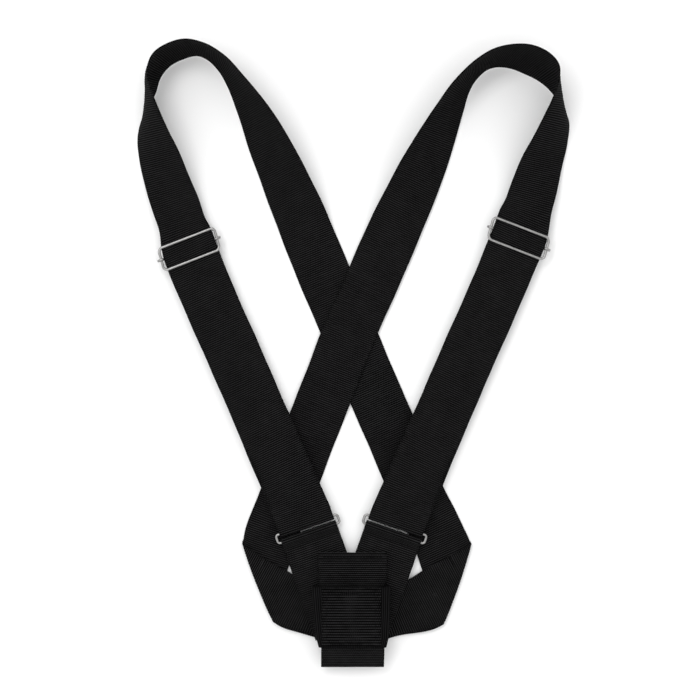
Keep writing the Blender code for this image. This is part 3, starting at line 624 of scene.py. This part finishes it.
def down_direction(side, lean):
    return np.array([-side["sign"] * math.sin(lean), -math.cos(lean)])


def ring_bar(side):
    """Middle of the ring's upper bar, and the way from it to the lower bar."""
    ring_down = down_direction(side, RING_TILT)
    fold = np.array([side["sign"] * RING_FOLD[0], RING_FOLD[1]])
    return fold - ring_down * (RING_WRAP_R + WEB / 2), ring_down


def level_row(middle, direction, width, z):
    """A row square to a direction in plan, as (edge, other edge, bow)."""
    direction = np.asarray(direction, float) / np.linalg.norm(direction)
    across = np.array([-direction[1], direction[0]]) * width / 2
    return [*(middle - across), z, *(middle + across), z, 0.0]


def matched(row, other):
    """The row, turned end for end if it runs the other way than its neighbour."""
    way = np.subtract(row[3:5], row[0:2])
    if np.dot(way, np.subtract(other[3:5], other[0:2])) < 0:
        return [*row[3:6], *row[0:3], row[6]]
    return list(row)


def half_turn(z, radius, count=9):
    """Distances and heights from above to below round a bar."""
    angle = math.pi * np.arange(count) / (count - 1)
    return zip(radius * np.sin(angle), z + radius * np.cos(angle))


def front_rows(side, first):
    """Down the front from the shoulder loop, and round the ring's upper bar."""
    down = down_direction(side, FRONT_LEAN)
    bar, ring_down = ring_bar(side)
    top = (np.array(first[0:2]) + np.array(first[3:5])) / 2
    length = np.dot(bar - top, down)
    inward = np.array([down[1], -down[0]]) * side["sign"]
    lowest = (length - FRONT_LAST_STOP, FRONT_WIDTH_LOW, FRONT_INSET)
    turn = [(-TURN_LEAD, FRONT_Z), *half_turn(RING_Z, RING_WRAP_R), (-TURN_TAIL, UNDER_Z)]
    rows = []
    for stop, width, inset in (*FRONT_ROWS, lowest):
        middle = bar - down * (length - stop) + inward * inset
        rows.append(level_row(middle, down, width, FRONT_Z))
    for distance, z in turn:
        rows.append(level_row(bar + ring_down * distance, ring_down, FRONT_WIDTH_RING, z))
    return [matched(row, first) for row in rows]


def fold_frame(side):
    """At the side fold: the way in, the crease, and the way square to the crease, outwards."""
    lean, turn = math.radians(side["fold_lean"]), math.radians(side["fold_turn"])
    crease = np.array([-math.sin(lean), -math.cos(lean)])
    angle = -side["sign"] * turn
    incoming = np.array([crease[0] * math.cos(angle) - crease[1] * math.sin(angle),
                         crease[0] * math.sin(angle) + crease[1] * math.cos(angle)])
    normal = np.array([-crease[1], crease[0]]) * -side["sign"]
    return np.array(side["fold_middle"]) * MM, incoming, crease, normal * np.sign(normal @ incoming)


def unfold(point, fold):
    """Where a point of the return run would lie if the strap went straight on past its crease."""
    middle, _, crease, normal = fold
    offset = np.asarray(point) - middle
    return middle + crease * (offset @ crease) + normal * (math.pi * FOLD_R - offset @ normal)


def fold_over(grid, fold):
    """Lay everything past the crease back over the strap: round a half circle of radius FOLD_R,
    then mirrored in the crease, coming down to its own layer over FOLD_SETTLE. The ends of the
    crease are drawn in by CREASE_PULL, which fades away over CREASE_SPREAD."""
    middle, _, crease, normal = fold
    offset = grid[..., :2] - middle
    along, beyond = offset @ crease, offset @ normal
    edge = np.minimum(np.abs(along - along[:, :1]), np.abs(along - along[:, -1:]))
    near = np.exp(-(np.abs(beyond) + edge) / CREASE_SPREAD)
    turn = np.clip(beyond / FOLD_R, 0, math.pi)
    past = np.clip(beyond - math.pi * FOLD_R, 0, None)
    side_step = np.where(beyond > 0, FOLD_R * np.sin(turn) - past, beyond)
    raised = LAYER_0 + FOLD_R * (1 - np.cos(turn))
    settled = smooth_step(past, 0, FOLD_SETTLE)
    height = np.where(beyond > 0, raised + (grid[..., 2] - raised) * settled, grid[..., 2])
    side_step = side_step - CREASE_PULL * near
    plan = middle + along[..., None] * crease + side_step[..., None] * normal
    return np.concatenate([plan, height[..., None]], axis=-1)


def back_rows(side, last, fold):
    """From the shoulder loop, past the crossing, to a little way past the crease, unfolded."""
    middle, incoming = fold[:2]
    points = [np.array(point) * MM for point in side["back_route"]]
    before = (np.array(last[0:2]) + np.array(last[3:5])) / 2
    route = [before, *points, middle - incoming * FOLD_LEAD]
    ways = [route[k + 1] - route[k - 1] for k in range(1, len(route) - 1)] + [incoming]
    rows = []
    for start, end, way in zip(route, route[1:], ways):
        rows.append(level_row((start + end) / 2, end - start, BACK_WIDTH, side["back_z"]))
        rows.append(level_row(end, way, BACK_WIDTH, side["back_z"]))
    for stop, width in zip(FOLD_STOPS, side["fold_widths"]):
        rows.append(level_row(middle + incoming * stop, incoming, width * MM, LAYER_0))
    for k, row in enumerate(rows):
        rows[k] = matched(row, rows[k - 1] if k else last)
    return rows


def return_rows(side, fold, previous):
    """The return run behind the cup, worked out where it lies and then unfolded."""
    inner, end = (np.array(point) * MM for point in side["return_route"])
    half = STRAP_WIDTH / 2
    way = end - (fold[0] + inner) / 2
    square = np.array([-way[1], way[0]]) / np.linalg.norm(way) * half
    seam = np.array([-side["sign"] * CENTER_SEAM, end[1]])
    upright = np.array([0, half + SEAM_MARGIN])
    rows = []
    for low, high in ((inner - square, inner + square), (seam - upright, seam + upright)):
        row = [*unfold(low, fold), LAYER_0, *unfold(high, fold), LAYER_0, 0.0]
        previous = matched(row, previous)
        rows.append(previous)
    return rows


def settle_heights(rows, side, fold, loop_end):
    """Heights of the level back run: over its fellow at the crossing, down to the ground below
    it, and up on to its own incoming run after the side fold."""
    middle, incoming = fold[:2]
    center = middles(rows)[:, :2]
    reach = (center - middle) @ incoming
    back = side["back_z"] + (LAYER_0 - side["back_z"]) * smooth_step(
        -center[:, 1], -CROSSING_BELOW_Y, CROSSING_DOWN - CROSSING_BELOW_Y)
    after = LAYER_1 + (LAYER_0 - LAYER_1) * smooth_step(reach, *RETURN_SETTLE)
    level = np.where(reach > 0, after, back)
    flat = np.arange(len(rows)) > loop_end
    rows[flat, 2] = level[flat]
    rows[flat, 5] = level[flat]


STRAP_NODES = ("shoulder_loop_front", "shoulder_loop_back", "front_run", "ring_turn", "back_run")


def make_strap(side_name, side):
    """One whole strap, from the turn round the ring to its end behind the cup."""
    loop = [[*(np.array(station) * MM)] for station in side["loop"]]
    loop[0][2] = loop[0][5] = FRONT_Z
    loop[-1][2] = loop[-1][5] = side["back_z"]
    fold = fold_frame(side)
    front = front_rows(side, loop[0])[::-1]
    back = back_rows(side, loop[-1], fold)
    back += return_rows(side, fold, back[-1])
    rows, along = even_rows([*front, *loop, *back])
    center = middles(rows)[:, :2]
    loop_last = (np.array(loop[-1][0:2]) + np.array(loop[-1][3:5])) / 2
    loop_end = int(np.argmin(np.linalg.norm(center - loop_last, axis=1)))
    settle_heights(rows, side, fold, loop_end)
    reach = (center - fold[0]) @ fold[1]
    split = int(np.argmax((np.arange(len(rows)) > loop_end) & (reach > -SPLIT_LEAD)))
    pieces = (("strap", slice(0, split + 1), STRAP_COLUMNS, STRAP_NODES),
              ("side_fold", slice(split, len(rows)), FOLD_COLUMNS, ("waist_run",)))
    for part, span, columns, nodes in pieces:
        grid, across, width = sheet_grid(rows[span], columns, outward=-side["sign"])
        if part == "side_fold":
            grid = fold_over(grid, fold)
        piece = webbing(f"{side_name}_{part}", grid, along[span], across, width, STRAP_BLACK)
        finish_piece(piece, "root", "strap_webbing", *[f"{side_name}_{node}" for node in nodes])


def make_under_strap(side_name, side):
    """Hidden layer from the ring turn back up to the sewn end at the slide, which it laps over."""
    slide_down = down_direction(side, SLIDE_TILT)
    bar, ring_down = ring_bar(side)
    start = bar - ring_down * (TURN_TAIL + GAP)
    end = np.array(side["slide_middle"]) + slide_down * (STRAP_END_TAIL - STRAP_END_LAP)
    end_z = CENTER_BAR_Z - BAR_WRAP_R + 2 * LAYER_STEP
    share = np.linspace(0, 1, 7)
    rows = [level_row(start, ring_down, FRONT_WIDTH_RING, UNDER_Z)]
    for s in share[1:-1]:
        z = UNDER_Z + (end_z - UNDER_Z) * smooth_step(s, 0, 1)
        width = FRONT_WIDTH_RING + (STRAP_END_WIDTH - FRONT_WIDTH_RING) * s
        rows.append(matched(level_row(start + (end - start) * s, start - end, width, z), rows[-1]))
    rows.append(matched(level_row(end, slide_down, STRAP_END_WIDTH, end_z), rows[-1]))
    under = woven_sheet(f"{side_name}_under_layer", rows, STRAP_BLACK)
    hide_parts(f"{side_name}_under_strap")
    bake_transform(under)


def make_strap_end(side_name, side):
    """The strap's end, doubled round the centre bar and sewn to itself below the slide."""
    down = down_direction(side, SLIDE_TILT)
    middle = np.array(side["slide_middle"])
    top = CENTER_BAR_Z + LAYER_STEP - BAR_WRAP_R
    bottom = CENTER_BAR_Z - BAR_WRAP_R
    profile = [(STRAP_END_TAIL, top), (16 * MM, top), (8 * MM, top),
               (3.5 * MM, CENTER_BAR_Z + 0.3 * BAR_WRAP_R)]
    for angle in np.radians(60 + 210 * np.arange(9) / 8):
        profile.append((BAR_WRAP_R * math.cos(angle), CENTER_BAR_Z + BAR_WRAP_R * math.sin(angle)))
    profile += [(12 * MM, bottom), (STRAP_END_TAIL, bottom)]
    rows = [level_row(middle + down * distance, down, STRAP_END_WIDTH, z)
            for distance, z in profile]
    end = woven_sheet(f"{side_name}_sewn_end", rows, STRAP_BLACK)
    finish_piece(end, f"{side_name}_strap_end", "strap_webbing", f"{side_name}_strap_end")
    way = np.array([-down[1], down[0], 0]) * STRAP_END_SEAM_HALF
    seam = np.array([*(middle + down * STRAP_END_SEAM), top + WEB / 2 + THREAD_R])
    sewn = stitches(f"{side_name}_sewn_end_stitches", [seam - way], [seam + way], THREAD)
    finish_piece(sewn, f"{side_name}_strap_end", "thread", f"{side_name}_strap_end_stitching")


def make_slide(side_name, side):
    """Wire slide: a closed frame, and a centre bar that hooks over each side rail."""
    middle = side["slide_middle"]
    tilt = -side["sign"] * SLIDE_TILT
    outline = rounded_rectangle(SLIDE_LENGTH, SLIDE_HEIGHT, SLIDE_CORNER)
    outline[:, 0] -= side["sign"] * SLIDE_SKEW * outline[:, 1]
    path = placed(outline, middle, tilt, OUTER_BAR_Z)
    frame_wire = wire(f"{side_name}_slide_wire", path, (0, 0, 1), NICKEL)
    finish_piece(frame_wire, f"{side_name}_slide", "wire", f"{side_name}_slide_frame")
    drop, rail = CENTER_BAR_Z - OUTER_BAR_Z, SLIDE_LENGTH / 2
    hook = np.radians(np.linspace(*HOOK_SWEEP, 15))
    half = np.column_stack([rail + HOOK_R * np.cos(hook), 0 * hook, HOOK_R * np.sin(hook)])
    lead = [(rail - inwards * MM, 0, drop + rise * MM) for inwards, rise in HOOK_LEAD]
    half = np.concatenate([[(0, 0, drop)], lead, half])
    other = half[:0:-1] * np.array([-1, 1, 1])
    square = (-math.sin(tilt), math.cos(tilt), 0)
    path = placed(np.concatenate([other, half]), middle, tilt, OUTER_BAR_Z)
    bar = wire(f"{side_name}_hooked_bar", path, square, NICKEL, closed=False)
    finish_piece(bar, f"{side_name}_strap_end", "wire", f"{side_name}_center_bar")


def make_ring(side_name, side):
    """Rectangular wire ring with round corners."""
    bar, ring_down = ring_bar(side)
    outline = rounded_rectangle(RING_LENGTH, RING_HEIGHT, RING_CORNER)
    path = placed(outline, bar + ring_down * RING_HEIGHT / 2, -side["sign"] * RING_TILT, RING_Z)
    ring = wire(f"{side_name}_wire_ring", path, (0, 0, 1), NICKEL)
    finish_piece(ring, f"{side_name}_ring", "wire", f"{side_name}_ring")


def make_tab(side_name, side):
    """Wide webbing doubled round the ring's lower bar and mitred at the middle behind the cup."""
    upper_bar, ring_down = ring_bar(side)
    sign = side["sign"]
    bar = upper_bar + ring_down * RING_HEIGHT
    down = down_direction(side, TAB_LEAN)
    length = (bar[1] - TAB_END_Y) / math.cos(TAB_LEAN)
    stops = np.concatenate([TAB_FIRST_STOPS, np.linspace(34, length / MM - 6, 12)]) * MM
    lower = UNDER_Z + (TAB_Z - UNDER_Z) * smooth_step(stops, *TAB_DROP)
    angle = math.pi * (1.5 - np.arange(9) / 8)
    distance = np.concatenate([stops[::-1], RING_WRAP_R * np.cos(angle), stops])
    z = np.concatenate([lower[::-1], RING_Z + RING_WRAP_R * np.sin(angle), lower + LAYER_STEP])
    rows = []
    for way, height in zip(distance, z):
        along = down if way > TURN_LEAD else ring_down
        rows.append(level_row(bar + along * way, along, TAB_WIDTH, height))
    rows, run = even_rows(rows)
    trim_at_seam(rows, sign)
    grid, across, width = sheet_grid(rows)
    tab = webbing(f"{side_name}_doubled_tab", grid, run, across, width, WIDE_BLACK)
    finish_piece(tab, "root", "wide_webbing", f"{side_name}_tab")
    height = np.interp(TAB_SEAM, stops, lower) + LAYER_STEP + WEB / 2 + 0.8 * THREAD_R
    way = np.array([-down[1], down[0], 0]) * TAB_SEAM_HALF
    seam = np.array([*(bar + down * TAB_SEAM), height + TAB_SEAM_RISE])
    sewn = stitches(f"{side_name}_tab_stitches", [seam - way], [seam + way], THREAD)
    finish_piece(sewn, "root", "thread", f"{side_name}_tab_stitching")


def trim_at_seam(rows, sign):
    """Shorten each row that passes the middle seam, along its own line."""
    way = rows[:, 3:6] - rows[:, :3]
    for edge in (0, 3):
        excess = CENTER_SEAM - sign * rows[:, edge]
        back = np.where(excess > 0, sign * excess / way[:, 0], 0.0)
        rows[:, edge:edge + 3] += way * back[:, None]


def strip_profile():
    """(y, z) of the cup strip: hem, back, fold at the tip, front up inside the band. The hem's turn
    and the tip are half circles, and past the tip the strip rises smoothly to its front."""
    hem_r = LAYER_STEP / 2
    hem_y, tip_y = STRIP_TOP_Y - hem_r - WEB / 2, STRIP_TIP_Y + TIP_R + WEB / 2
    turn = math.pi * np.arange(9) / 8
    rise = np.arange(1, 7) / 6
    rise_end = BAND_BOTTOM_Y + 2 * MM
    low = STRIP_BACK_Z + 2 * TIP_R
    back = [STRIP_TOP_Y - 12 * MM, BAND_TOP_Y, -245 * MM, STRIP_NARROW_Y]
    front = [STRIP_NARROW_Y, BAND_TOP_Y - 3 * MM]
    runs = (
        ([STRIP_TOP_Y - HEM], [STRIP_BACK_Z + LAYER_STEP]),
        (hem_y + hem_r * np.sin(turn), STRIP_BACK_Z + hem_r * (1 + np.cos(turn))),
        (back, [STRIP_BACK_Z] * len(back)),
        (tip_y - TIP_R * np.sin(turn), STRIP_BACK_Z + TIP_R * (1 - np.cos(turn))),
        (tip_y + (rise_end - tip_y) * rise, low + (STRIP_FRONT_Z - low) * smooth_step(rise, 0, 1)),
        (front, [STRIP_FRONT_Z] * len(front)),
    )
    return (np.concatenate(values) for values in zip(*runs))


def make_cup_strip():
    """Back of the cup: hemmed at the top, folded up at the bottom to close the cup."""
    y, z = strip_profile()
    widening = smooth_step(y, STRIP_NARROW_Y, STRIP_TOP_Y)
    half = (STRIP_WIDTH + (STRIP_WIDTH_TOP - STRIP_WIDTH) * widening) / 2
    rows = np.column_stack([STRIP_X - half, y, z, STRIP_X + half, y, z, 0 * y])
    strip = woven_sheet("cup_folded_strip", rows, WIDE_BLACK, columns=19)
    finish_piece(strip, "root", "wide_webbing", "cup_strip")
    seam_y, seam_z = STRIP_TOP_Y - 0.7 * HEM, STRIP_BACK_Z + LAYER_STEP + WEB / 2 + 0.6 * THREAD_R
    sewn = stitches("cup_hem_stitches", [(STRIP_X - HEM_SEAM_HALF, seam_y, seam_z)],
                    [(STRIP_X + HEM_SEAM_HALF, seam_y, seam_z)], THREAD)
    finish_piece(sewn, "root", "thread", "cup_hem_stitching")


def make_cup_band():
    """Webbing wrapped flat round the strip, its ends meeting at the back: the cup's wall. It is
    worked out as a straight tube of unit half width, then drawn to the outline at every height."""
    middle_z, height = (BAND_BACK_Z + BAND_FRONT_Z) / 2, BAND_FRONT_Z - BAND_BACK_Z
    ys, centers, halves = BAND_OUTLINE.T
    full = halves.max() - WEB / 2
    loop = rounded_rectangle(2 * full, height, BAND_CORNER, 8, start_middle=True)
    loop[[0, -1], 0] += np.array([BAND_END_GAP, -BAND_END_GAP])
    flat = np.ones(len(loop))
    rows, along = even_rows(np.column_stack([
        loop[:, 0], ys[0] * flat, middle_z + loop[:, 1], loop[:, 0], ys[-1] * flat,
        middle_z + loop[:, 1], 0 * flat]))
    grid, across, width = sheet_grid(rows, columns=25)
    outline = np.interp(grid[..., 1], ys, halves - WEB / 2)
    grid[..., 0] = np.interp(grid[..., 1], ys, centers) + grid[..., 0] * outline / full
    band = webbing("cup_wrapped_band", grid, along, across, width, BAND_BLACK, rib_share=0.5)
    finish_piece(band, "root", "strap_webbing", "cup_band")


def make_patch():
    """Square patch sewn over the band; the webbing sinks a little under its box of stitches."""
    x, y = PATCH_CENTER
    half_x, half_y = PATCH_SIZE[0] / 2, PATCH_SIZE[1] / 2
    rows, along = even_rows([[x - half_x, row_y, PATCH_Z, x + half_x, row_y, PATCH_Z, 0.0]
                             for row_y in np.linspace(y + half_y, y - half_y, 5)])
    grid, across, width = sheet_grid(rows, columns=61)
    inset = np.minimum(np.minimum(across, width[:, None] - across),
                       np.minimum(along, along[-1] - along)[:, None])
    depth, half_width = BOX_GROOVE
    dent = depth * np.exp(-((inset - BOX_STITCH_INSET) / half_width) ** 2)
    patch = webbing("cup_square_patch", grid, along * PATCH_WEAVE, across, width, PATCH_BLACK,
                    dent=dent, border=inset * SELVAGE / BOX_STITCH_INSET)
    finish_piece(patch, "root", "wide_webbing", "cup_patch")
    corner_x, corner_y = half_x - BOX_STITCH_INSET, half_y - BOX_STITCH_INSET
    z = PATCH_Z + WEB / 2 - 0.1 * MM
    corners = [(x - corner_x, y - corner_y, z), (x + corner_x, y - corner_y, z),
               (x + corner_x, y + corner_y, z), (x - corner_x, y + corner_y, z)]
    sewn = stitches("cup_patch_stitches", corners, corners[1:] + corners[:1], THREAD)
    finish_piece(sewn, "root", "thread", "cup_patch_stitching")


# ---------------------------------------------------------------------------------------- studio

CAMERA_PLACE = (-1.14 * MM, 3.8 * MM, 2.0)
CAMERA_LENS = 108.3
FLOOR_SIZE = 12
FLOOR_Z = -0.4 * MM
SURROUND_STRENGTH = 1.15
SOFT_BOX_PLACE = np.array([-0.9, 1.1, 2.2])
SOFT_BOX_SIZE = 1.4
SOFT_BOX_POWER = 34


def add_to_scene(name, data, place):
    thing = bpy.data.objects.new(name, data)
    thing.location = place
    bpy.context.scene.collection.objects.link(thing)
    return thing


def make_studio():
    """Plain white floor, a broad soft light high on the left behind, and even light all round."""
    bpy.ops.mesh.primitive_plane_add(size=FLOOR_SIZE, location=(0, 0, FLOOR_Z))
    floor = bpy.context.object
    floor.name = "floor"
    material, _, shader = new_material("plain_white_floor")
    shader.inputs["Base Color"].default_value = (0.9, 0.9, 0.9, 1)
    shader.inputs["Roughness"].default_value = 0.9
    shader.inputs["Specular IOR Level"].default_value = 0.1
    floor.data.materials.append(material)
    world = bpy.data.worlds.new("soft_surround")
    world.use_nodes = True
    surround = world.node_tree.nodes["Background"]
    surround.inputs["Color"].default_value = (1, 1, 1, 1)
    surround.inputs["Strength"].default_value = SURROUND_STRENGTH
    bpy.context.scene.world = world
    light = bpy.data.lights.new("soft_box", "AREA")
    light.energy = SOFT_BOX_POWER
    light.size = SOFT_BOX_SIZE
    soft_box = add_to_scene("soft_box", light, SOFT_BOX_PLACE)
    x, y, z = SOFT_BOX_PLACE
    soft_box.rotation_euler = (math.acos(z / np.linalg.norm(SOFT_BOX_PLACE)), 0, math.atan2(-x, y))
    camera = bpy.data.cameras.new("camera")
    camera.lens = CAMERA_LENS
    camera.sensor_width = 36
    bpy.context.scene.camera = add_to_scene("camera", camera, CAMERA_PLACE)
    bpy.context.scene.view_settings.view_transform = "Standard"


make_studio()
for side_name, side in SIDES.items():
    make_strap(side_name, side)
    make_under_strap(side_name, side)
    make_strap_end(side_name, side)
    make_slide(side_name, side)
    make_ring(side_name, side)
    make_tab(side_name, side)
make_cup_strip()
make_cup_band()
make_patch()
